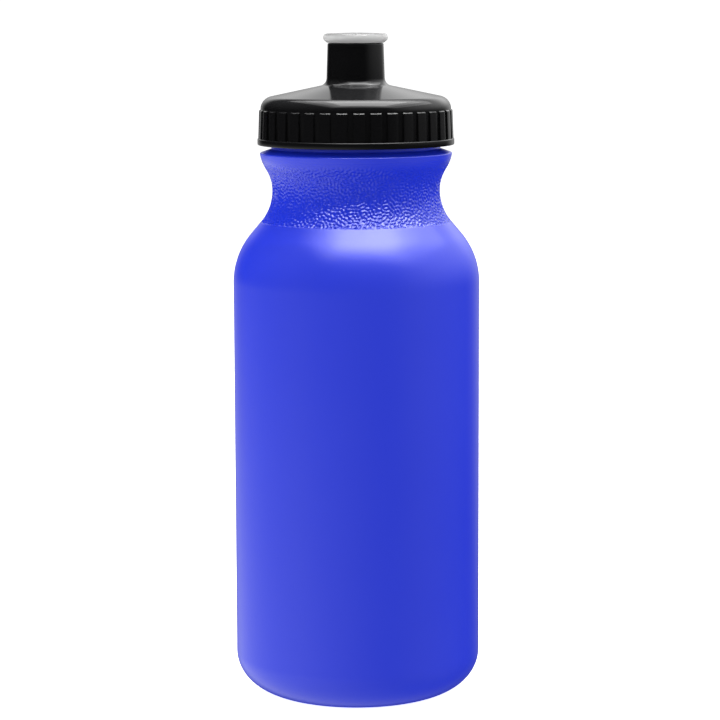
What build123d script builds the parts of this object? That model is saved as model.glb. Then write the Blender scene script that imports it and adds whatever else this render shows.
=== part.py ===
from build123d import *
from math import acos, asin, atan2, cos, degrees, hypot, radians, sin, tan
import os

# Sports squeeze bottle: a blow-moulded bottle, a screw cap with a hollow chimney, a flat sealing ring
# under the cap, and a push-pull spout that slides in the chimney.
# Millimetres. Z is the bottle's axis, upwards, and the foot ring stands on Z = 0.

# Bottle outside
body_radius = 36.35
waist_height = 150.2  # height of the narrowest place of the neck
corner_reach = 14.3  # how far the bottom corner's curve reaches inwards
corner_rise = 12.15  # and upwards
foot_width = 2.4  # flat ring that the bottle stands on
push_up = 4.2  # height of the hollow under the base
shoulder_radius = 22.2
shoulder_cone = 4.9  # straight stretch between the shoulder and the neck
neck_curve_below = 14.2  # radius of the neck's hollow below the waist
neck_curve_above = 11.6  # and above it
flare_radius = 12.0  # round of the collar above the neck
wall = 1.1

# Threaded finish
finish_radius = 24.8  # outside of the mouth between the threads
waist_inset = 0.1  # how far the waist lies inside that radius
collar_width = 3.6  # how far the collar stands outside it
collar_rise = 11.05  # height of the collar's edge above the waist
collar_slope = 1.2  # rise of the collar's top towards the mouth
rim_land = 2.04  # from the thread's upper end to the rim
finish_wall = 2.0
rim_round = 0.5

# Screw thread
thread_pitch = 4.2
thread_depth = 1.5
ridge_foot = 1.9  # width of a thread ridge where it joins its wall
ridge_crest = 0.95
ridge_embed = 0.25  # how far a ridge's foot runs into its wall
bottle_thread_turns = 1.3
bottle_thread_start = 5.35  # height of its first end above the collar's edge
cap_thread_turns = 1.5
cap_thread_lead = 90  # the cap's ridge starts this many degrees after the bottle's
thread_clearance = 0.35  # between each crest and the wall it faces

# Cap
cap_gap = 2.35  # from the collar's edge up to the cap's lower edge
skirt_wall = 1.3
flange_width = 0.98
flange_height = 1.9
flange_round = 0.3
rib_count = 36
rib_turn = 3.3  # angle of the first rib from the front
rib_share = 0.62  # part of each step that the rib fills
rib_drop = 3.17  # the ribs end this far under the height where the roof would meet the skirt
rib_foot_depth = 0.74
rib_top_depth = 0.42
rib_slope = 0.6  # height of the slope at a rib's upper end
seat_cover = 1.67  # from the sealing ring's seat up to where the sloping roof would meet the skirt
roof_slope = 12  # degrees
roof_round = 3.7
roof_wall = 1.5

# Chimney
chimney_wall = 1.5
chimney_draft = 0.4  # how much wider it is at its foot
chimney_foot_round = 2.3
chimney_edge = 0.4
lip_height = 1.0
lip_reach = 0.5

# Centre post
post_radius = 3.0
post_shoulder = 0.7  # the post's shoulder lies this far under the chimney's top
post_edge = 0.4
web_count = 3
web_thickness = 1.6
web_height = 2.4
barrel_gap = 1.55  # from the webs up to the spout's barrel when it is pushed in

# Sealing ring
seal_thickness = 1.2
seal_edge = 0.2
seal_clearance = 0.05  # above it and below it
seal_side_clearance = 0.3

# Spout
spout_travel = 7.0
barrel_radius = 6.1
barrel_wall = 1.4
barrel_clearance = 0.1  # between the barrel and the chimney's lip, and between its bead and the bore
bead_height = 1.2
hole_radius = 2.3
tip_clearance = 0.08  # between the post's tip and the drinking hole
tip_drop = 0.3  # the tip's end lies this far under the spout's top
mouth_overhang = 1.3  # how far the mouthpiece stands outside the chimney's top
mouth_thickness = 2.9
mouth_crown = 0.25
mouth_round = 1.1
mouth_under_inset = 0.5  # how far its underside starts inside the chimney's outside
mouth_under_rise = 1.3
mouth_under_round = 0.4
mouth_floor = 0.4  # the hollow barrel reaches this far up into the mouthpiece
rest_gap = 0.1  # under the mouthpiece when it is pushed in

# Worked out: the bottle's neck and mouth
waist_radius = finish_radius - waist_inset
collar_radius = finish_radius + collar_width
collar_height = waist_height + collar_rise
rim_height = collar_height + bottle_thread_start + bottle_thread_turns * thread_pitch + rim_land
bore_radius = finish_radius - finish_wall
flare_angle = acos(1 - (collar_radius - waist_radius) / (neck_curve_above + flare_radius))
flare_height = waist_height + (neck_curve_above + flare_radius) * sin(flare_angle)
flare_centre = collar_radius - flare_radius

# Worked out: the shoulder, whose cone touches the shoulder's round and the neck's hollow
curves = shoulder_radius + neck_curve_below
shoulder_lean = (acos((curves - body_radius + waist_radius) / hypot(curves, shoulder_cone))
                 - atan2(shoulder_cone, curves))
shoulder_height = waist_height - curves * sin(shoulder_lean) - shoulder_cone * cos(shoulder_lean)

# Worked out: the cap
crest_radius = finish_radius + thread_depth
skirt_bore = crest_radius + thread_clearance
skirt_radius = skirt_bore + skirt_wall
cap_bottom = collar_height + cap_gap
seat_height = rim_height + seal_thickness + 2 * seal_clearance
roof_edge = seat_height + seat_cover
roof_rise = tan(radians(roof_slope))
roof_drop = roof_wall / cos(radians(roof_slope))  # the roof's wall measured upright

# Worked out: the chimney and its post
lip_radius = barrel_radius + barrel_clearance
chimney_bore = lip_radius + lip_reach
chimney_top_radius = chimney_bore + chimney_wall
chimney_foot_radius = chimney_top_radius + chimney_draft
web_foot = roof_edge + (skirt_radius - chimney_bore) * roof_rise - roof_drop
barrel_bottom = web_foot + web_height + barrel_gap
bead_top = barrel_bottom + bead_height
lip_bottom = bead_top + spout_travel
chimney_top = lip_bottom + lip_height
tip_radius = hole_radius - tip_clearance

# Worked out: the sealing ring and the spout
seal_bottom = rim_height + seal_clearance
seal_top = seat_height - seal_clearance
mouth_bottom = chimney_top + rest_gap
mouth_top = mouth_bottom + mouth_thickness
mouth_radius = chimney_top_radius + mouth_overhang
bead_radius = chimney_bore - barrel_clearance


def turned(corners):
    """Solid of revolution about Z from (radius, height, rounding) corners."""
    profile = make_face(Polyline(*[(r, z) for r, z, rounding in corners], close=True))
    for r, z, rounding in corners:
        if rounding:
            profile = fillet(profile.vertices().sort_by_distance((r, z))[0], rounding)
    return revolve(Plane.XZ * profile, Axis.Z)


def roof_at(radius):
    """Height of the cap's roof, outside, at this radius."""
    return roof_edge + (skirt_radius - radius) * roof_rise


def base_line(inset):
    """Edges of the base from the axis out to its corner, this far inside the outer surface."""
    foot_inner = body_radius - corner_reach - foot_width
    sphere = (foot_inner**2 + push_up**2) / (2 * push_up)
    centre = push_up - sphere
    radius = sphere + inset
    edge_angle = degrees(asin((inset - centre) / radius))
    hollow = CenterArc((0, centre), radius, 90, edge_angle - 90)
    return [hollow, Line(hollow @ 1, (body_radius - corner_reach, inset))]


def side_line(inset):
    """Edges of the side from the base's corner up to the collar's edge, this far inside the outer surface."""
    lean, flare = degrees(shoulder_lean), degrees(flare_angle)
    edge_drop = flare_height - collar_height + inset
    edge_angle = degrees(asin(edge_drop / (flare_radius - inset)))
    corner = EllipticalCenterArc((body_radius - corner_reach, corner_rise),
                                 corner_reach - inset, corner_rise - inset, -90, arc_size=90)
    shoulder = CenterArc((body_radius - shoulder_radius, shoulder_height), shoulder_radius - inset, 0, lean)
    below = CenterArc((waist_radius + neck_curve_below, waist_height), neck_curve_below + inset,
                      180 + lean, -lean)
    above = CenterArc((waist_radius + neck_curve_above, waist_height), neck_curve_above + inset, 180, -flare)
    collar = CenterArc((flare_centre, flare_height), flare_radius - inset, -flare, flare - edge_angle)
    return [corner, Line(corner @ 1, shoulder @ 0), shoulder, Line(shoulder @ 1, below @ 0),
            below, above, collar]


def thread_ridge(radius, start, turns, direction):
    """Helical ridge on a wall of this radius, standing out (+1) or in (-1)."""
    path = Helix(thread_pitch, thread_pitch * turns, radius, center=(0, 0, start))
    foot, crest = ridge_foot / 2, ridge_crest / 2
    outline = Polyline((-direction * ridge_embed, -foot), (direction * thread_depth, -crest),
                       (direction * thread_depth, crest), (-direction * ridge_embed, foot), close=True)
    start_plane = Plane(origin=path @ 0, x_dir=(1, 0, 0), z_dir=path % 0)
    return sweep(start_plane * make_face(outline), path=path, is_frenet=True)


def bottle_shell():
    """Hollow bottle with an even wall, without its thread."""
    outside = base_line(0) + side_line(0)
    inside = base_line(wall) + side_line(wall)
    collar_out, collar_in = outside[-1] @ 1, inside[-1] @ 1
    top_rise = collar_slope / (collar_out.X - finish_radius)
    groove = (finish_radius, collar_height + collar_slope)
    bore_foot = (bore_radius, collar_in.Y + (collar_in.X - bore_radius) * top_rise)
    rim = Polyline(groove, (finish_radius, rim_height - rim_round), (finish_radius - rim_round, rim_height),
                   (bore_radius + rim_round, rim_height), (bore_radius, rim_height - rim_round), bore_foot)
    edges = outside + [Line(collar_out, groove)] + list(rim.edges()) + [Line(bore_foot, collar_in)]
    edges += inside + [Line(outside[0] @ 0, inside[0] @ 0)]
    return revolve(Plane.XZ * make_face(edges), Axis.Z)


def make_bottle():
    thread = thread_ridge(finish_radius, collar_height + bottle_thread_start, bottle_thread_turns, 1)
    return bottle_shell() + thread


def cap_shell():
    """Skirt, flange, roof and chimney in one turned wall."""
    return turned([
        (skirt_bore, cap_bottom, flange_round),
        (skirt_radius + flange_width, cap_bottom, flange_round),
        (skirt_radius + flange_width, cap_bottom + flange_height, flange_round),
        (skirt_radius, cap_bottom + flange_height, 0),
        (skirt_radius, roof_edge, roof_round),
        (chimney_foot_radius, roof_at(chimney_foot_radius), chimney_foot_round),
        (chimney_top_radius, chimney_top, chimney_edge),
        (lip_radius, chimney_top, 0),
        (lip_radius, lip_bottom, 0),
        (chimney_bore, lip_bottom, 0),
        (chimney_bore, web_foot, 0),
        (bore_radius, roof_at(bore_radius) - roof_drop, 0),
        (bore_radius, seat_height, 0),
        (skirt_bore, seat_height, 0),
    ])


def grip_ribs():
    """The ring of upright ribs around the skirt."""
    foot = cap_bottom + flange_height - ridge_embed
    top = roof_edge - rib_drop
    inner = skirt_radius - ridge_embed
    outline = Polyline((inner, foot), (skirt_radius + rib_foot_depth, foot),
                       (skirt_radius + rib_top_depth, top - rib_slope), (inner, top), close=True)
    step = 360 / rib_count
    rib = revolve(Plane.XZ * make_face(outline), Axis.Z, revolution_arc=step * rib_share)
    first = rib_turn - 90 - step * rib_share / 2
    return [Rot(0, 0, first + step * k) * rib for k in range(rib_count)]


def centre_post():
    """Post that plugs the drinking hole, standing on webs across the chimney."""
    shoulder = chimney_top - post_shoulder
    tip = mouth_top - tip_drop
    post = turned([(0, web_foot, 0), (post_radius, web_foot, 0), (post_radius, shoulder, 0),
                   (tip_radius, shoulder, 0), (tip_radius, tip, post_edge), (0, tip, 0)])
    reach = chimney_bore + ridge_embed
    web = Pos(reach / 2, 0, web_foot + web_height / 2) * Box(reach, web_thickness, web_height)
    return [post] + [Rot(0, 0, 360 / web_count * k) * web for k in range(web_count)]


def make_cap():
    start = collar_height + bottle_thread_start - thread_pitch / 2 + thread_pitch * cap_thread_lead / 360
    thread = Rot(0, 0, cap_thread_lead) * thread_ridge(skirt_bore, start, cap_thread_turns, -1)
    return cap_shell() + grip_ribs() + centre_post() + thread


def make_seal_ring():
    outer = skirt_bore - seal_side_clearance
    return turned([(bore_radius, seal_bottom, seal_edge), (outer, seal_bottom, seal_edge),
                   (outer, seal_top, seal_edge), (bore_radius, seal_top, seal_edge)])


def make_spout():
    inner = barrel_radius - barrel_wall
    ceiling = mouth_bottom + mouth_floor
    return turned([
        (hole_radius, mouth_top, 0),
        (mouth_radius, mouth_top - mouth_crown, mouth_round),
        (mouth_radius, mouth_bottom + mouth_under_rise, mouth_under_round),
        (chimney_top_radius - mouth_under_inset, mouth_bottom, mouth_under_round),
        (barrel_radius, mouth_bottom, 0),
        (barrel_radius, bead_top, 0),
        (bead_radius, bead_top, 0),
        (bead_radius, barrel_bottom, 0),
        (inner, barrel_bottom, 0),
        (inner, ceiling, 0),
        (hole_radius, ceiling, 0),
    ])


os.makedirs("parts", exist_ok=True)
export_step(make_bottle(), "parts/bottle.step")
export_step(make_cap(), "parts/cap.step")
export_step(make_seal_ring(), "parts/seal_ring.step")
export_step(make_spout(), "parts/spout.step")
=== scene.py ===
import bpy, bmesh, math, random
from mathutils import Matrix, Vector


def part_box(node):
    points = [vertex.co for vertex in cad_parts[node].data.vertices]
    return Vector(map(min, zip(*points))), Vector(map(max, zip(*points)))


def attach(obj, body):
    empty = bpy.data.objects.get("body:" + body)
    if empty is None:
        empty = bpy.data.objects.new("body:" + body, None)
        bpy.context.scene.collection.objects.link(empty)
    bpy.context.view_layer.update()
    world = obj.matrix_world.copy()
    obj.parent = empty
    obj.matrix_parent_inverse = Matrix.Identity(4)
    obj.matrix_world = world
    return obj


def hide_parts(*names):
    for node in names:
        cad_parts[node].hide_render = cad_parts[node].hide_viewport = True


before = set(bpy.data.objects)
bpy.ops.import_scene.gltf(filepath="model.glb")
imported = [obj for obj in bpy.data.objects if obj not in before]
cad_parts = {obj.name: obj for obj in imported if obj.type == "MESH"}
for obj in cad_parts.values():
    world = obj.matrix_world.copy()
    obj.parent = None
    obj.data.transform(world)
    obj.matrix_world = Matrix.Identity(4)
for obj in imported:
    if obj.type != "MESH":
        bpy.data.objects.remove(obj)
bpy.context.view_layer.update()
mm = 0.001
mergeDistance = 0.001 * mm


def hexColour(code):
    # sRGB hex to the linear colour that the nodes want
    parts = [int(code[i:i + 2], 16) / 255 for i in (1, 3, 5)]
    return [c / 12.92 if c <= 0.04045 else ((c + 0.055) / 1.055) ** 2.4 for c in parts] + [1.0]


def ease(x):
    # 0 to 1 with soft ends
    x = min(max(x, 0.0), 1.0)
    return x * x * (3 - 2 * x)


def arcPoints(centre, radii, startDeg, endDeg, steps):
    # (radius, height) points along a round, both ends included
    turns = [math.radians(startDeg + (endDeg - startDeg) * i / steps) for i in range(steps + 1)]
    return [(centre[0] + radii[0] * math.cos(a), centre[1] + radii[1] * math.sin(a)) for a in turns]


def roundedOutline(corners, closed=True):
    # corners are (radius, height, rounding, steps); each rounding becomes its own arc
    points = []
    for i, (r, z, rounding, steps) in enumerate(corners):
        here = Vector((r, z))
        if rounding == 0 or (not closed and i in (0, len(corners) - 1)):
            points.append((r, z))
            continue
        before = (Vector(corners[i - 1][:2]) - here).normalized()
        after = (Vector(corners[(i + 1) % len(corners)][:2]) - here).normalized()
        half = before.angle(after) / 2
        centre = here + (before + after).normalized() * rounding / math.sin(half)
        first = here + before * rounding / math.tan(half) - centre
        last = here + after * rounding / math.tan(half) - centre
        swing = first.angle_signed(last)
        for k in range(steps + 1):
            a = -swing * k / steps
            points.append((centre.x + first.x * math.cos(a) - first.y * math.sin(a),
                           centre.y + first.x * math.sin(a) + first.y * math.cos(a)))
    return points


def takeIn(bm, part):
    # adds a finished part to a larger one
    mesh = bpy.data.meshes.new("part")
    part.to_mesh(mesh)
    part.free()
    bm.from_mesh(mesh)
    bpy.data.meshes.remove(mesh)


def spinOutline(points, segments, sectors=1, closed=False):
    # turns a (radius, height) outline in mm about the bottle's axis, one sector first and then its copies
    bm = bmesh.new()
    verts = [bm.verts.new((r * mm, 0, z * mm)) for r, z in points]
    pairs = list(zip(verts, verts[1:])) + ([(verts[-1], verts[0])] if closed else [])
    edges = [bm.edges.new(pair) for pair in pairs]
    about = {"cent": (0, 0, 0), "axis": (0, 0, 1), "dvec": (0, 0, 0)}
    bmesh.ops.spin(bm, geom=verts + edges, angle=math.tau / sectors, steps=segments // sectors,
                   use_merge=sectors == 1, use_duplicate=False, **about)
    if sectors > 1:
        bmesh.ops.spin(bm, geom=bm.verts[:] + bm.edges[:] + bm.faces[:], steps=sectors - 1,
                       angle=math.tau * (sectors - 1) / sectors, use_duplicate=True, **about)
    bmesh.ops.remove_doubles(bm, verts=bm.verts, dist=mergeDistance)
    return bm


# both screw threads have this ridge; sizes in mm
thread = {
    "pitch": 4.2, "depth": 1.5, "foot": 1.9, "crest": 0.95, "crestRound": 0.3,
    "sink": 0.25,  # how far the foot runs into its wall
    "stepsPerTurn": 120, "fadeSteps": 14,
}


def threadRidge(radius, start, turns, lead, side):
    # helical ridge that fades out at both ends; side is 1 outwards and -1 inwards
    bm = bmesh.new()
    depth, sink = thread["depth"], thread["sink"]
    foot, crest, shy = thread["foot"] / 2, thread["crest"] / 2, thread["crestRound"]
    section = [(-sink, -foot), (depth - shy, -crest - shy / 2), (depth, -crest + shy / 2),
               (depth, crest - shy / 2), (depth - shy, crest + shy / 2), (-sink, foot)]
    ring = [bm.verts.new(((radius + side * out) * mm, 0, (start + up) * mm)) for out, up in section]
    edges = [bm.edges.new((ring[i - 1], ring[i])) for i in range(len(ring))]
    first = bmesh.ops.contextual_create(bm, geom=edges)["faces"]
    bmesh.ops.spin(bm, geom=first, cent=(0, 0, 0), axis=(0, 0, 1),
                   dvec=(0, 0, thread["pitch"] * mm / thread["stepsPerTurn"]), angle=math.tau * turns,
                   steps=int(turns * thread["stepsPerTurn"]), use_duplicate=False)
    for v in bm.verts:
        flat = math.hypot(v.co.x, v.co.y)
        out = side * (flat / mm - radius)
        if out <= 0:
            continue
        climbed = climbOf(v.co, start)
        keep = ease(min(climbed, turns - climbed) * thread["stepsPerTurn"] / thread["fadeSteps"])
        wanted = (radius + side * (out * keep - (1 - keep) * sink)) * mm
        v.co.x, v.co.y = v.co.x * wanted / flat, v.co.y * wanted / flat
    bmesh.ops.rotate(bm, verts=bm.verts, cent=(0, 0, 0), matrix=turnAbout(lead))
    return bm


def climbOf(co, start):
    # turns climbed so far along a ridge that starts at this height
    angle = math.atan2(co.y, co.x) / math.tau % 1
    height = (co.z / mm - start) / thread["pitch"]
    return angle + round(height - angle)


def turnAbout(degrees):
    return Matrix.Rotation(math.radians(degrees), 3, "Z")


def makePiece(name, bm, material, body, node, sharpDeg):
    # points the faces outwards and puts the mesh in the scene as one piece
    bmesh.ops.recalc_face_normals(bm, faces=bm.faces)
    mesh = bpy.data.meshes.new(name)
    bm.to_mesh(mesh)
    bm.free()
    mesh.polygons.foreach_set("use_smooth", [True] * len(mesh.polygons))
    mesh.set_sharp_from_angle(angle=math.radians(sharpDeg))
    piece = bpy.data.objects.new(name, mesh)
    bpy.context.collection.objects.link(piece)
    mesh.materials.append(material)
    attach(piece, body)
    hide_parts(node)
    return piece


def addNode(tree, kind, settings=None, links=None):
    # one node with its settings, fixed inputs by name or number, and links
    node = tree.nodes.new(kind)
    for key, value in (settings or {}).items():
        if isinstance(key, int) or key in node.inputs:
            node.inputs[key].default_value = value
        else:
            setattr(node, key, value)
    for key, source in (links or {}).items():
        tree.links.new(source, node.inputs[key])
    return node


def newMaterial(name):
    material = bpy.data.materials.new(name)
    material.use_nodes = True
    material.node_tree.nodes.clear()
    return material, material.node_tree


def mouldedSkin(tree, place, look):
    # what the moulded plastics share: a slow drift of colour and gloss, and a fine unevenness of the skin
    drift = addNode(tree, "ShaderNodeTexNoise", {"Scale": 1 / (look["driftMm"] * mm), "Detail": 2.0},
                    {"Vector": place})
    skin = addNode(tree, "ShaderNodeTexNoise",
                   {"Scale": 1 / (look["skinMm"] * mm), "Detail": look["skinDetail"]}, {"Vector": place})
    tint = addNode(tree, "ShaderNodeMix", {"data_type": "RGBA", 6: hexColour(look["colour"]),
                                           7: hexColour(look["drifted"])}, {"Factor": drift.outputs["Fac"]})
    gloss = addNode(tree, "ShaderNodeMapRange",
                    {"To Min": look["roughness"][0], "To Max": look["roughness"][1]},
                    {"Value": drift.outputs["Fac"]})
    bump = addNode(tree, "ShaderNodeBump",
                   {"Strength": look["skinStrength"], "Distance": look["skinDepthMm"] * mm},
                   {"Height": skin.outputs["Fac"]})
    return tint.outputs[2], gloss.outputs["Result"], bump


def facesUp(tree, tint, look):
    # another colour on the faces that look upwards: painted shade on the spout, a lighter tone on the cap
    normal = addNode(tree, "ShaderNodeNewGeometry").outputs["Normal"]
    facing = addNode(tree, "ShaderNodeSeparateXYZ", None, {"Vector": normal})
    upwards = addNode(tree, "ShaderNodeMapRange", {"From Min": look["upFrom"], "From Max": look["upTo"]},
                      {"Value": facing.outputs["Z"]})
    changed = addNode(tree, "ShaderNodeMix", {"data_type": "RGBA", 7: hexColour(look["upColour"])},
                      {"Factor": upwards.outputs[0], 6: tint})
    return changed.outputs[2]


def blowMouldedPolyethylene():
    # low-density polyethylene blown against a satin mould: soft, slightly waxy sheen over deep blue
    look = {"colour": "#1A30CC", "drifted": "#1D33CF", "driftMm": 38, "roughness": (0.27, 0.32),
            "skinMm": 1.1, "skinDetail": 3.0, "skinDepthMm": 0.045, "skinStrength": 0.35,
            "flowMm": 7, "flowDepthMm": 0.09,  # slow waves of the blown wall
            "bandMm": (140.8, 141.6, 157.5, 160), "bandRoughness": 0.17}  # the grained band is glossier
    material, tree = newMaterial("blowMouldedPolyethylene")
    place = addNode(tree, "ShaderNodeTexCoord").outputs["Object"]
    tint, satin, bump = mouldedSkin(tree, place, look)
    flow = addNode(tree, "ShaderNodeTexNoise", {"Scale": 1 / (look["flowMm"] * mm), "Detail": 2.0},
                   {"Vector": place})
    sway = addNode(tree, "ShaderNodeBump",
                   {"Strength": look["skinStrength"], "Distance": look["flowDepthMm"] * mm},
                   {"Height": flow.outputs["Fac"]})
    tree.links.new(sway.outputs["Normal"], bump.inputs["Normal"])
    height = addNode(tree, "ShaderNodeSeparateXYZ", None, {"Vector": place}).outputs["Z"]
    band = [at * mm for at in look["bandMm"]]
    below = addNode(tree, "ShaderNodeMapRange", {"From Min": band[0], "From Max": band[1]}, {"Value": height})
    above = addNode(tree, "ShaderNodeMapRange", {"From Min": band[3], "From Max": band[2]}, {"Value": height})
    inBand = addNode(tree, "ShaderNodeMath", {"operation": "MULTIPLY"},
                     {0: below.outputs[0], 1: above.outputs[0]})
    gloss = addNode(tree, "ShaderNodeMix", {"data_type": "FLOAT", 3: look["bandRoughness"]},
                    {0: inBand.outputs[0], 2: satin})
    shader = addNode(tree, "ShaderNodeBsdfPrincipled",
                     {"IOR": 1.51, "Subsurface Weight": 0.05, "Subsurface Radius": (0.2, 0.3, 1.0),
                      "Subsurface Scale": 0.002},
                     {"Base Color": tint, "Roughness": gloss.outputs[0], "Normal": bump.outputs["Normal"]})
    addNode(tree, "ShaderNodeOutputMaterial", None, {"Surface": shader.outputs["BSDF"]})
    return material


def mouldedPolypropylene():
    # black polypropylene from a polished mould: dark and glossy, its reflections a little
    # uneven, with a lighter colour on the faces that look up
    look = {"colour": "#0A0A0B", "drifted": "#0E0E0F", "driftMm": 0.5, "roughness": (0.1, 0.16),
            "skinMm": 2.6, "skinDetail": 2.0, "skinDepthMm": 0.008, "skinStrength": 0.3,
            # upColour makes the faces that look up lighter than the rest of the cap
            "upColour": "#1D1D1E", "upFrom": 0.1, "upTo": 0.8}
    material, tree = newMaterial("mouldedPolypropylene")
    place = addNode(tree, "ShaderNodeTexCoord").outputs["Object"]
    tint, gloss, bump = mouldedSkin(tree, place, look)
    shader = addNode(tree, "ShaderNodeBsdfPrincipled", {"IOR": 1.49, "Specular IOR Level": 0.26},
                     {"Base Color": facesUp(tree, tint, look), "Roughness": gloss,
                      "Normal": bump.outputs["Normal"]})
    addNode(tree, "ShaderNodeOutputMaterial", None, {"Surface": shader.outputs["BSDF"]})
    return material


def milkyPolyethylene():
    # natural polyethylene with no pigment: milky, light soaks in and comes out softened; it falls through
    # the crown into the hollow below, and the faces that look upwards get painted shade, a greyer colour, for
    # that
    look = {"colour": "#CDCDCD", "drifted": "#BFBFBF", "driftMm": 3.0, "roughness": (0.2, 0.28),
            "skinMm": 0.6, "skinDetail": 2.0, "skinDepthMm": 0.008, "skinStrength": 0.3,
            # upColour here is painted shade on the faces that look upwards
            "upColour": "#7E7E7E", "upFrom": 0.2, "upTo": 0.95}
    material, tree = newMaterial("milkyPolyethylene")
    place = addNode(tree, "ShaderNodeTexCoord").outputs["Object"]
    tint, gloss, bump = mouldedSkin(tree, place, look)
    shader = addNode(tree, "ShaderNodeBsdfPrincipled",
                     {"IOR": 1.51, "Specular IOR Level": 0.25, "Transmission Weight": 0.1,
                      "Subsurface Weight": 0.4, "Subsurface Radius": (1.0, 1.0, 1.0),
                      "Subsurface Scale": 0.0015},
                     {"Base Color": facesUp(tree, tint, look), "Roughness": gloss,
                      "Normal": bump.outputs["Normal"]})
    addNode(tree, "ShaderNodeOutputMaterial", None, {"Surface": shader.outputs["BSDF"]})
    return material


def foamedPolyethylene():
    # soft closed-cell sealing foam: matt, off-white, with fine cells
    look = {"foam": "#E9E8E2", "cell": "#CFCDC4", "roughness": 0.75, "cellMm": 0.35, "cellDepthMm": 0.03}
    material, tree = newMaterial("foamedPolyethylene")
    place = addNode(tree, "ShaderNodeTexCoord").outputs["Object"]
    cells = addNode(tree, "ShaderNodeTexVoronoi", {"Scale": 1 / (look["cellMm"] * mm)}, {"Vector": place})
    tint = addNode(tree, "ShaderNodeMix", {"data_type": "RGBA", 6: hexColour(look["cell"]),
                                           7: hexColour(look["foam"])}, {"Factor": cells.outputs["Distance"]})
    bump = addNode(tree, "ShaderNodeBump", {"Strength": 0.5, "Distance": look["cellDepthMm"] * mm},
                   {"Height": cells.outputs["Distance"]})
    shader = addNode(tree, "ShaderNodeBsdfPrincipled", {"IOR": 1.5, "Roughness": look["roughness"]},
                     {"Base Color": tint.outputs[2], "Normal": bump.outputs["Normal"]})
    addNode(tree, "ShaderNodeOutputMaterial", None, {"Surface": shader.outputs["BSDF"]})
    return material


# radii and heights in mm, from the axis and the foot ring, here and in the cap and the spout
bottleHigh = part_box("bottle")[1]
bottle = {
    "radius": bottleHigh.x / mm, "rim": bottleHigh.z / mm, "wall": 1.1,
    "footReach": 14.3, "footRise": 12.15, "footWidth": 2.4, "pushUp": 4.2,
    "shoulderRound": 22.2, "shoulderCone": 4.9, "waist": 24.7, "waistHeight": 150.2,
    "hollowBelow": 14.2, "hollowAbove": 11.6, "flareRound": 12.0,
    "collar": 28.4, "collarHeight": 161.25, "collarRound": 0.45, "collarSlope": 1.2,
    "mouth": 24.8, "mouthFootRound": 0.5, "bore": 22.8, "boreFootRound": 0.6, "rimRound": 0.5,
    "threadRise": 5.35, "threadTurns": 1.3,  # rise is from the collar's edge to the thread's first end
    "grainTopRow": 159.4, "rowGap": 0.3, "segments": 180, "grainSegments": 720, "sectors": 10, "sharpDeg": 50,
}


def bottleCurves():
    # lean of the cone and sweep of the flare in degrees, and where the shoulder and the flare are centred
    b = bottle
    curves = b["shoulderRound"] + b["hollowBelow"]
    lean = (math.acos((curves - b["radius"] + b["waist"]) / math.hypot(curves, b["shoulderCone"]))
            - math.atan2(b["shoulderCone"], curves))
    flare = math.acos(1 - (b["collar"] - b["waist"]) / (b["hollowAbove"] + b["flareRound"]))
    return {"lean": math.degrees(lean), "flare": math.degrees(flare),
            "shoulder": b["waistHeight"] - curves * math.sin(lean) - b["shoulderCone"] * math.cos(lean),
            "flareTop": b["waistHeight"] + (b["hollowAbove"] + b["flareRound"]) * math.sin(flare)}


def flareDeg(height, radius):
    # angle on the flare's round at this height
    return -math.degrees(math.asin((bottleCurves()["flareTop"] - height) / radius))


def bottleSide(inset, steps):
    # base, wall and shoulder, this far inside the outer surface
    b, curves = bottle, bottleCurves()
    footInner = b["radius"] - b["footReach"] - b["footWidth"]
    sphere = (footInner ** 2 + b["pushUp"] ** 2) / (2 * b["pushUp"])
    centre = b["pushUp"] - sphere
    edgeDeg = math.degrees(math.asin((inset - centre) / (sphere + inset)))
    base = arcPoints((0, centre), (sphere + inset, sphere + inset), 90, edgeDeg, steps)
    foot = arcPoints((b["radius"] - b["footReach"], b["footRise"]),
                     (b["footReach"] - inset, b["footRise"] - inset), -90, 0, 2 * steps)
    turn = b["shoulderRound"] - inset
    return base + foot + arcPoints((b["radius"] - b["shoulderRound"], curves["shoulder"]), (turn, turn),
                                   0, curves["lean"], 2 * steps)


def neckHollow(inset, steps, topHeight):
    # the neck's two hollow curves and the collar's flare up to this height
    b, curves = bottle, bottleCurves()
    below, above, out = b["hollowBelow"] + inset, b["hollowAbove"] + inset, b["flareRound"] - inset
    return (arcPoints((b["waist"] + b["hollowBelow"], b["waistHeight"]), (below, below),
                      180 + curves["lean"], 180, steps[0])
            + arcPoints((b["waist"] + b["hollowAbove"], b["waistHeight"]), (above, above),
                        180, 180 - curves["flare"], steps[1])[1:]
            + arcPoints((b["collar"] - b["flareRound"], curves["flareTop"]), (out, out),
                        -curves["flare"], flareDeg(topHeight, out), steps[2])[1:])


def bottleTop(rowTop):
    # from the flare over the collar, mouth and rim and down the inside to the neck
    b, flare = bottle, bottle["flareRound"]
    collar = arcPoints((b["collar"] - flare, bottleCurves()["flareTop"]), (flare, flare),
                       flareDeg(rowTop, flare), flareDeg(b["collarHeight"], flare), 8)
    inner = neckHollow(b["wall"], (10, 8, 5), b["collarHeight"] - b["wall"])
    slope = b["collarSlope"] / (collar[-1][0] - b["mouth"])
    boreFoot = inner[-1][1] + (inner[-1][0] - b["bore"]) * slope
    corners = [collar[-2] + (0, 1), collar[-1] + (b["collarRound"], 5),
               (b["mouth"], b["collarHeight"] + b["collarSlope"], b["mouthFootRound"], 4),
               (b["mouth"], b["rim"], b["rimRound"], 5), (b["bore"], b["rim"], b["rimRound"], 5),
               (b["bore"], boreFoot, b["boreFootRound"], 4), inner[-1] + (0, 1)]
    return collar[:-2] + roundedOutline(corners, closed=False)[:-1] + inner[::-1]


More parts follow.
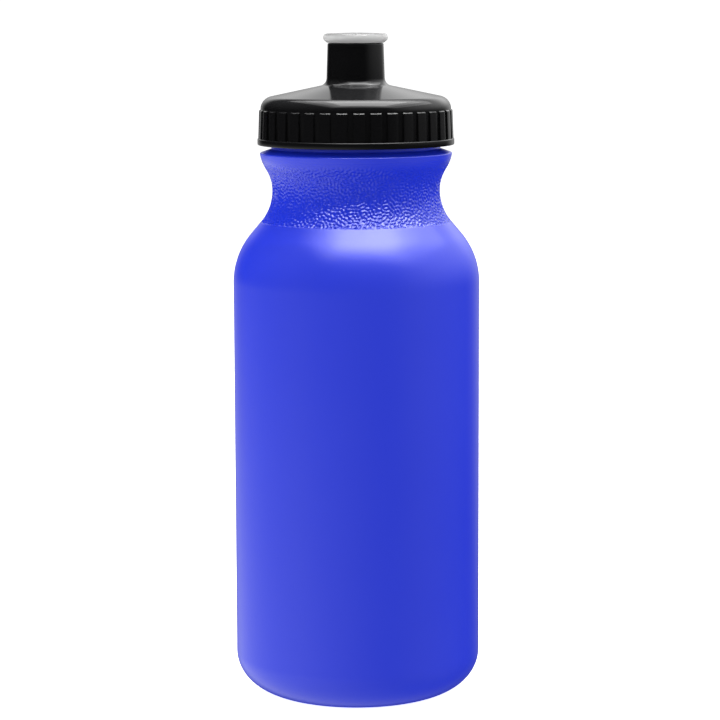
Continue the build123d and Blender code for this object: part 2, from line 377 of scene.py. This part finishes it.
# worm-like grain pressed into the neck by the mould; sizes in mm
grain = {
    "spacing": 1.05, "spread": 0.2, "height": 0.26, "crispness": 1.4, "waves": 46, "seed": 11,
    "top": 158.0, "fade": 2.6,
    "plain": 0.75, "plainRings": 3, "edge": 0.2,  # smooth strip on the cone under the grain, then its edge
}


def grainWaves():
    # ripples of nearly one length in every direction; whole numbers of them fit round the neck
    random.seed(grain["seed"])
    waves = []
    for i in range(grain["waves"]):
        length = grain["spacing"] * (1 + grain["spread"] * random.uniform(-1, 1))
        heading = math.pi * (i + random.random()) / grain["waves"]
        around = round(math.cos(heading) * math.tau / length * bottle["waist"])
        waves.append((around, math.sin(heading) * math.tau / length, random.uniform(0, math.tau)))
    return waves


def pressGrain(bm):
    # raises the moulded grain as worm-like ridges, fading out under the collar
    bm.normal_update()
    radiusAt = {round(v.co.z / mm, 4): math.hypot(v.co.x, v.co.y) / mm for v in bm.verts}
    heights = sorted(radiusAt)
    along, way = {heights[0]: 0.0}, 0.0
    for low, high in zip(heights, heights[1:]):
        way += math.hypot(high - low, radiusAt[high] - radiusAt[low])
        along[high] = way
    waves = grainWaves()
    share = math.sqrt(2 / len(waves))
    moves = []
    for v in bm.verts:
        z = round(v.co.z / mm, 4)
        fade = ease((grain["top"] + grain["fade"] / 2 - z) / grain["fade"])
        fade *= ease((along[z] - grain["plain"]) / grain["edge"])
        if fade == 0:
            continue
        angle, far = math.atan2(v.co.y, v.co.x), along[z]
        ripple = share * sum(math.cos(n * angle + k * far + start) for n, k, start in waves)
        level = 0.5 + 0.5 * math.tanh(grain["crispness"] * ripple)
        moves.append((v, v.normal * (grain["height"] * mm * fade * level)))
    for v, move in moves:
        v.co += move


def joinRings(bm, heights):
    # closes the gap between two open rings of edges at these heights
    edges = [e for e in bm.edges if e.is_boundary
             and min(abs(e.verts[0].co.z - height * mm) for height in heights) < mergeDistance]
    bmesh.ops.bridge_loops(bm, edges=edges)


def makeBottle(material):
    b = bottle
    side = bottleSide(0, 10)
    neck = neckHollow(0, (42, 36, 12), b["grainTopRow"])
    cone = (Vector(side[-1]) - Vector(neck[0])).normalized()
    backs = [grain["plain"] * ring / grain["plainRings"] for ring in range(grain["plainRings"], 0, -1)]
    neck = [tuple(Vector(neck[0]) + cone * back) for back in backs] + neck
    upper = bottleTop(b["grainTopRow"] + b["rowGap"])
    bm = spinOutline(side, b["segments"], b["sectors"])
    band = spinOutline(neck, b["grainSegments"], b["sectors"])
    pressGrain(band)
    takeIn(bm, band)
    takeIn(bm, spinOutline(upper + bottleSide(b["wall"], 5)[::-1], b["segments"], b["sectors"]))
    joinRings(bm, (side[-1][1], neck[0][1]))
    joinRings(bm, (neck[-1][1], upper[0][1]))
    takeIn(bm, threadRidge(b["mouth"], b["collarHeight"] + b["threadRise"], b["threadTurns"], 0, 1))
    piece = makePiece("bottleShell", bm, material, "bottle", "bottle", b["sharpDeg"])
    print("bottle made,", len(piece.data.polygons), "faces")


cap = {
    "bottom": 163.6, "bore": 26.65, "skirt": 27.95, "flange": 28.93, "flangeHeight": 1.9, "flangeRound": 0.3,
    "ribCount": 36, "ribSteps": 5, "grooveSteps": 3, "ribTurn": 1.9, "ribTop": 173.9, "ribSlope": 0.28,
    "ribShoulder": 0.5, "ribFoot": 0.74, "ribFootDrop": 0.1, "ribHead": 0.42, "ribRound": 0.1,
    "roofEdge": 177.07, "roofDeg": 12, "roofRound": 3.7, "roofWall": 1.5,
    "seat": 175.4, "seatInner": 22.8, "seatRound": 0.25, "seatInnerRounds": (0.5, 0.2),
    "chimneyFoot": 8.6, "chimneyTop": 8.2, "chimneyHeight": 193.2033, "chimneyRound": 2.3, "chimneyEdge": 0.4,
    "chimneyBore": 6.7, "chimneyBoreRound": 0.3, "lip": 6.2, "lipHeight": 0.95, "lipRounds": (0.15, 0.1),
    "post": 3.0, "postRound": 0.3, "postShoulder": 192.5, "postSegments": 64,
    "tip": 2.22, "tipTop": 195.9, "tipCrown": 0.1, "tipRound": 0.5, "tipFootRound": 0.15,
    "webCount": 3, "webHeight": 2.4, "webThickness": 1.6, "webRound": 0.25, "webSink": 0.25,
    "threadTurns": 1.5, "threadLead": 90, "sectors": 12, "sharpDeg": 38,
}


def roofAt(radius):
    return cap["roofEdge"] + (cap["skirt"] - radius) * math.tan(math.radians(cap["roofDeg"]))


def raiseRibs(bm):
    # pulls each rib's faces out of the skirt, slopes its head and rounds its edges
    c = cap
    step = c["ribSteps"] + c["grooveSteps"]
    flangeTop = c["bottom"] + c["flangeHeight"]
    segment = math.tau / (c["ribCount"] * step)
    nearSkirt = 0.05

    def onRib(face):
        middle = face.calc_center_median()
        flat, z = math.hypot(middle.x, middle.y) / mm, middle.z / mm
        index = int(math.atan2(middle.y, middle.x) % math.tau / segment) % step
        return abs(flat - c["skirt"]) < nearSkirt and flangeTop < z < c["ribTop"] and index < c["ribSteps"]

    feet = [f for f in bm.faces if onRib(f)]
    made = bmesh.ops.extrude_face_region(bm, geom=feet)["geom"]
    bmesh.ops.delete(bm, geom=feet, context="FACES")
    tops = [g for g in made if isinstance(g, bmesh.types.BMFace)]
    for v in [g for g in made if isinstance(g, bmesh.types.BMVert)]:
        up = (v.co.z / mm - flangeTop) / (c["ribTop"] - flangeTop)
        flat = math.hypot(v.co.x, v.co.y)
        wanted = (c["skirt"] + c["ribFoot"] + (c["ribHead"] - c["ribFoot"]) * up) * mm
        v.co.x, v.co.y = v.co.x * wanted / flat, v.co.y * wanted / flat
        v.co.z -= (c["ribFootDrop"] + (c["ribSlope"] - c["ribFootDrop"]) * up) * mm
    topSet = set(tops)
    rims = [e for f in tops for e in f.edges if sum(g in topSet for g in e.link_faces) == 1]
    rims = [e for e in rims if max(v.co.z for v in e.verts) / mm > flangeTop + c["ribFootDrop"]]
    bmesh.ops.bevel(bm, geom=rims, offset=c["ribRound"] * mm, offset_type="OFFSET", segments=2, profile=0.5,
                    affect="EDGES", material=-1, clamp_overlap=True)


def roofUnder(radius):
    return roofAt(radius) - cap["roofWall"] / math.cos(math.radians(cap["roofDeg"]))


def capWall():
    # outline of the skirt, flange, roof and chimney, outside and then inside
    c = cap
    flangeTop, lipFoot = c["bottom"] + c["flangeHeight"], c["chimneyHeight"] - c["lipHeight"]
    return roundedOutline([
        (c["bore"], c["bottom"], c["flangeRound"], 3),
        (c["flange"], c["bottom"], c["flangeRound"], 4),
        (c["flange"], flangeTop, c["flangeRound"], 4),
        (c["skirt"], flangeTop, 0, 1),
        (c["skirt"], c["ribTop"] - c["ribShoulder"], 0, 1),
        (c["skirt"], c["ribTop"], 0, 1),
        (c["skirt"], c["roofEdge"], c["roofRound"], 14),
        (c["chimneyFoot"], roofAt(c["chimneyFoot"]), c["chimneyRound"], 12),
        (c["chimneyTop"], c["chimneyHeight"], c["chimneyEdge"], 5),
        (c["lip"], c["chimneyHeight"], c["lipRounds"][0], 3),
        (c["lip"], lipFoot, c["lipRounds"][1], 2),
        (c["chimneyBore"], lipFoot, 0, 1),
        (c["chimneyBore"], roofUnder(c["chimneyBore"]), c["chimneyBoreRound"], 3),
        (c["seatInner"], roofUnder(c["seatInner"]), c["seatInnerRounds"][0], 4),
        (c["seatInner"], c["seat"], c["seatInnerRounds"][1], 3),
        (c["bore"], c["seat"], c["seatRound"], 3)])


def capPost(foot):
    # the post that plugs the drinking hole, from this height up
    c = cap
    return spinOutline(roundedOutline([
        (0, foot, 0, 1),
        (c["post"], foot, c["postRound"], 3),
        (c["post"], c["postShoulder"], c["postRound"], 3),
        (c["tip"], c["postShoulder"], c["tipFootRound"], 2),
        (c["tip"], c["tipTop"], c["tipRound"], 5),
        (0, c["tipTop"] + c["tipCrown"], 0, 1)], closed=False), c["postSegments"])


def capWeb(foot, degrees):
    # one of the webs that hold the post in the chimney
    c = cap
    reach = c["chimneyBore"] + c["webSink"]
    web = bmesh.new()
    bmesh.ops.create_cube(web, size=1)
    bmesh.ops.scale(web, verts=web.verts, vec=Vector((reach, c["webThickness"], c["webHeight"])) * mm)
    bmesh.ops.bevel(web, geom=web.edges, offset=c["webRound"] * mm, offset_type="OFFSET", segments=2,
                    profile=0.5, affect="EDGES", material=-1)
    bmesh.ops.translate(web, verts=web.verts, vec=Vector((reach / 2, 0, foot + c["webHeight"] / 2)) * mm)
    bmesh.ops.rotate(web, verts=web.verts, cent=(0, 0, 0), matrix=turnAbout(degrees))
    return web


def makeCap(material):
    c = cap
    segments = c["ribCount"] * (c["ribSteps"] + c["grooveSteps"])
    bm = spinOutline(capWall(), segments, c["sectors"], closed=True)
    raiseRibs(bm)
    half = c["ribSteps"] / 2 * 360 / segments
    bmesh.ops.rotate(bm, verts=bm.verts, cent=(0, 0, 0), matrix=turnAbout(c["ribTurn"] - half))
    webFoot = roofUnder(c["chimneyBore"])
    takeIn(bm, capPost(webFoot))
    for k in range(c["webCount"]):
        takeIn(bm, capWeb(webFoot, 360 / c["webCount"] * k))
    # the cap's ridge lies half a pitch under the bottle's, a quarter of a turn further on
    start = (bottle["collarHeight"] + bottle["threadRise"] - thread["pitch"] / 2
             + thread["pitch"] * c["threadLead"] / 360)
    takeIn(bm, threadRidge(c["bore"], start, c["threadTurns"], c["threadLead"], -1))
    piece = makePiece("screwCap", bm, material, "cap", "cap", c["sharpDeg"])
    print("cap made,", len(piece.data.polygons), "faces")


spout = {
    "hole": 2.3, "holeRounds": (0.35, 0.2), "top": 196.2033, "mouth": 9.5, "crown": 0.25, "mouthRound": 1.15,
    "underRise": 0.95, "underRound": 1.2, "underFoot": 8.35, "footRound": 0.35, "bottom": 193.3033,
    "barrel": 6.1, "barrelRound": 0.15, "bead": 6.6, "beadTop": 185.2033, "beadHeight": 1.2,
    "beadRounds": (0.15, 0.4), "bore": 4.7, "boreRounds": (0.3, 0.5), "ceiling": 193.7033,
    "segments": 160, "sectors": 10, "sharpDeg": 40,
}


def makeSpout(material):
    s = spout
    beadFoot = s["beadTop"] - s["beadHeight"]
    outline = roundedOutline([
        (s["hole"], s["top"], s["holeRounds"][0], 4),
        (s["mouth"], s["top"] - s["crown"], s["mouthRound"], 9),
        (s["mouth"], s["bottom"] + s["underRise"], s["underRound"], 8),
        (s["underFoot"], s["bottom"], s["footRound"], 4),
        (s["barrel"], s["bottom"], s["barrelRound"], 2),
        (s["barrel"], s["beadTop"], 0, 1),
        (s["bead"], s["beadTop"], s["beadRounds"][0], 3),
        (s["bead"], beadFoot, s["beadRounds"][1], 4),
        (s["bore"], beadFoot, s["boreRounds"][0], 3),
        (s["bore"], s["ceiling"], s["boreRounds"][1], 4),
        (s["hole"], s["ceiling"], s["holeRounds"][1], 2)])
    bm = spinOutline(outline, s["segments"], s["sectors"], closed=True)
    piece = makePiece("pullSpout", bm, material, "spout", "spout", s["sharpDeg"])
    print("spout made,", len(piece.data.polygons), "faces")


def makeFloor():
    # pale sheet lit from below, a little dimmer in the middle, so that only a faint shadow is left
    sheet = {"size": 80, "drop": 0.05 * mm, "dim": (0.04, 0.92), "bright": (0.3, 1.1),  # distance, glow
             "colour": "#F6F6F6", "mottled": "#FAFAFA", "roughness": 0.9}
    material, tree = newMaterial("litOpalSheet")
    place = addNode(tree, "ShaderNodeTexCoord").outputs["Object"]
    away = addNode(tree, "ShaderNodeVectorMath", {"operation": "LENGTH"}, {0: place})
    glow = addNode(tree, "ShaderNodeMapRange", {"From Min": sheet["dim"][0], "From Max": sheet["bright"][0],
                                                "To Min": sheet["dim"][1], "To Max": sheet["bright"][1]},
                   {"Value": away.outputs["Value"]})
    mottle = addNode(tree, "ShaderNodeTexNoise", {"Scale": 6.0, "Detail": 2.0}, {"Vector": place})
    tint = addNode(tree, "ShaderNodeMix", {"data_type": "RGBA", 6: hexColour(sheet["colour"]),
                                           7: hexColour(sheet["mottled"])}, {"Factor": mottle.outputs["Fac"]})
    shader = addNode(tree, "ShaderNodeBsdfPrincipled",
                     {"Roughness": sheet["roughness"], "Specular IOR Level": 0.0,
                      "Emission Color": (1, 1, 1, 1)},
                     {"Base Color": tint.outputs[2], "Emission Strength": glow.outputs["Result"]})
    addNode(tree, "ShaderNodeOutputMaterial", None, {"Surface": shader.outputs["BSDF"]})
    bm = bmesh.new()
    bmesh.ops.create_grid(bm, x_segments=2, y_segments=2, size=sheet["size"],
                          matrix=Matrix.Translation((0, 0, -sheet["drop"])))
    mesh = bpy.data.meshes.new("floor")
    bm.to_mesh(mesh)
    bm.free()
    mesh.materials.append(material)
    floor = bpy.data.objects.new("floor", mesh)
    bpy.context.collection.objects.link(floor)
    for ray in ("diffuse", "glossy", "transmission", "shadow"):
        setattr(floor, "visible_" + ray, False)
    print("floor laid")


def addPanel(name, place, target, size, radiance, lights):
    # a flat softbox of this radiance, aimed at the target, that adds to "glossy" or "diffuse" light or both
    data = bpy.data.lights.new(name, "AREA")
    data.shape, data.size, data.size_y = "RECTANGLE", size[0], size[1]
    data.energy = radiance * math.pi * size[0] * size[1]
    light = bpy.data.objects.new(name, data)
    light.location = place
    light.rotation_euler = (Vector(target) - Vector(place)).to_track_quat("-Z", "Y").to_euler()
    light.visible_camera = False
    light.visible_transmission = False
    light.visible_glossy = "glossy" in lights
    light.visible_diffuse = "diffuse" in lights
    bpy.context.collection.objects.link(light)


# the overhead softbox is brightest in its middle, and three sheets make that fall-off: each has its reach
# across and in depth, in metres, and its radiance; fills are place, target, size and radiance
softboxes = {
    "height": 1.16, "sheetGap": 0.02,
    "sheets": (((-0.64, 1.34), (-0.98, 0.90), 2.6),
               ((-0.46, 0.86), (-0.76, 0.62), 3.2),
               ((-0.28, 0.60), (-0.58, 0.40), 8.0)),
    "fills": {"overheadSoft": ((0.0, 0.05, 1.16), (0.0, 0.05, 0), (0.9, 0.86), 5.8),
              "upperLeft": ((-0.85, -0.1, 0.75), (0, 0, 0.15), (0.6, 0.6), 1.5)},
    "tentMiddle": (0, 0, 0.1), "tentHalf": 1.0,
    "tent": {"front": ((0, -1, 0), 0.85), "back": ((0, 1, 0), 1.0), "left": ((-1, 0, 0), 1.45),
             "right": ((1, 0, 0), 1.5), "top": ((0, 0, 1), 0.7), "bottom": ((0, 0, -1), 0.95)},
}


def makeLights():
    for i, (across, deep, radiance) in enumerate(softboxes["sheets"]):
        middle = (sum(across) / 2, sum(deep) / 2)
        height = softboxes["height"] + softboxes["sheetGap"] * i
        addPanel("overhead" + str(i + 1), middle + (height,), middle + (0,),
                 (across[1] - across[0], deep[1] - deep[0]), radiance, "glossy")
    for name, (place, target, size, radiance) in softboxes["fills"].items():
        addPanel(name, place, target, size, radiance, "diffuse")
    middle, half = softboxes["tentMiddle"], softboxes["tentHalf"]
    for name, (way, radiance) in softboxes["tent"].items():
        addPanel("tent" + name.capitalize(), Vector(middle) + Vector(way) * half, middle, (2 * half,) * 2,
                 radiance, "diffuse")
    print("lights set")


# what the glossy surfaces mirror: bright behind and to the right, bright low on the left, dark in front
mirror = {
    "directions": {"backRight": (0.94, 0.34, 0), "floorBehind": (0, 0.9, -0.436), "wall": (0.12, 0.993, 0)},
    # each ramp follows a direction, starts and ends at these values, and grows to this brightness
    "ramps": {"belowEye": ("up", -0.02, -0.34, 1.0), "leftSide": ("right", 0.8, -1.0, 1.45),
              "pastShadow": ("floorBehind", 1.0, 0.86, 1.0), "highSky": ("up", -0.15, 0.6, 1.0),
              "backRightGlow": ("backRight", 0.25, 1.0, 2.0), "aboveFloor": ("up", -0.3, -0.1, 1.0),
              "wallGlow": ("wall", 0.7, 0.98, 0.52), "aside": ("sideways", 0.05, 0.35, 1.0),
              "overFoot": ("up", -0.06, 0.08, 1.0), "upperRise": ("up", 0.08, 0.38, 1.0),
              "upperGlow": ("wall", 0.7, 0.95, 0.85)},
    # each join makes a new value of two others; the bottle's own shadow keeps the floor behind it dark
    "joins": (("low", "MULTIPLY", "belowEye", "leftSide"), ("litFloor", "MULTIPLY", "low", "pastShadow"),
              ("unshaded", "MAXIMUM", "aside", "overFoot"), ("high", "MULTIPLY", "highSky", "backRightGlow"),
              ("behind", "MULTIPLY", "aboveFloor", "wallGlow"), ("litWall", "MULTIPLY", "behind", "unshaded"),
              ("above", "MULTIPLY", "upperRise", "upperGlow"), ("aroundSides", "ADD", "litFloor", "high"),
              ("atBack", "ADD", "litWall", "above"), ("mirrored", "ADD", "aroundSides", "atBack")),
    "seen": 1.1,  # brightness of the background itself
}


def makeWorld():
    world = bpy.data.worlds.new("studio")
    bpy.context.scene.world = world
    world.use_nodes = True
    world.cycles_visibility.diffuse = False
    world.cycles.sampling_method = "NONE"
    tree = world.node_tree
    tree.nodes.clear()
    way = addNode(tree, "ShaderNodeTexCoord").outputs["Generated"]
    parts = addNode(tree, "ShaderNodeSeparateXYZ", None, {"Vector": way})
    sideways = addNode(tree, "ShaderNodeMath", {"operation": "ABSOLUTE"}, {0: parts.outputs["X"]})
    values = {"up": parts.outputs["Z"], "right": parts.outputs["X"], "sideways": sideways.outputs[0]}
    for name, direction in mirror["directions"].items():
        towards = addNode(tree, "ShaderNodeVectorMath", {"operation": "DOT_PRODUCT", 1: direction}, {0: way})
        values[name] = towards.outputs["Value"]
    for name, (follows, start, end, top) in mirror["ramps"].items():
        ramp = addNode(tree, "ShaderNodeMapRange", {"interpolation_type": "SMOOTHSTEP", "From Min": start,
                                                    "From Max": end, "To Max": top},
                       {"Value": values[follows]})
        values[name] = ramp.outputs[0]
    for name, operation, first, second in mirror["joins"]:
        joined = addNode(tree, "ShaderNodeMath", {"operation": operation},
                         {0: values[first], 1: values[second]})
        values[name] = joined.outputs[0]
    cameraRay = addNode(tree, "ShaderNodeLightPath").outputs["Is Camera Ray"]
    seen = addNode(tree, "ShaderNodeMix", {"data_type": "FLOAT", 3: mirror["seen"]},
                   {0: cameraRay, 2: values["mirrored"]})
    sky = addNode(tree, "ShaderNodeBackground", {"Color": (1, 1, 1, 1)}, {"Strength": seen.outputs[0]})
    addNode(tree, "ShaderNodeOutputWorld", None, {"Surface": sky.outputs["Background"]})
    print("studio surroundings set")


def makeCamera():
    view = {"distance": 0.8, "pitchDeg": 7.84, "aim": (0.00098, 0, 0.0996), "lens": 134.6, "sensor": 36,
            "rollDeg": -0.2}
    data = bpy.data.cameras.new("camera")
    data.lens, data.sensor_width = view["lens"], view["sensor"]
    camera = bpy.data.objects.new("camera", data)
    pitch = math.radians(view["pitchDeg"])
    camera.location = Vector(view["aim"]) + view["distance"] * Vector((0, -math.cos(pitch), math.sin(pitch)))
    camera.rotation_euler = (math.pi / 2 - pitch, 0, 0)
    camera.rotation_euler.rotate_axis("Z", math.radians(view["rollDeg"]))
    bpy.context.collection.objects.link(camera)
    bpy.context.scene.camera = camera
    print("camera placed")


bpy.context.scene.view_settings.view_transform = "Standard"
makeCamera()
makeWorld()
makeLights()
makeFloor()
makeBottle(blowMouldedPolyethylene())
makeCap(mouldedPolypropylene())
makeSpout(milkyPolyethylene())
foam = foamedPolyethylene()
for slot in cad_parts["seal_ring"].material_slots:
    slot.material = foam
print("seal ring's material set")
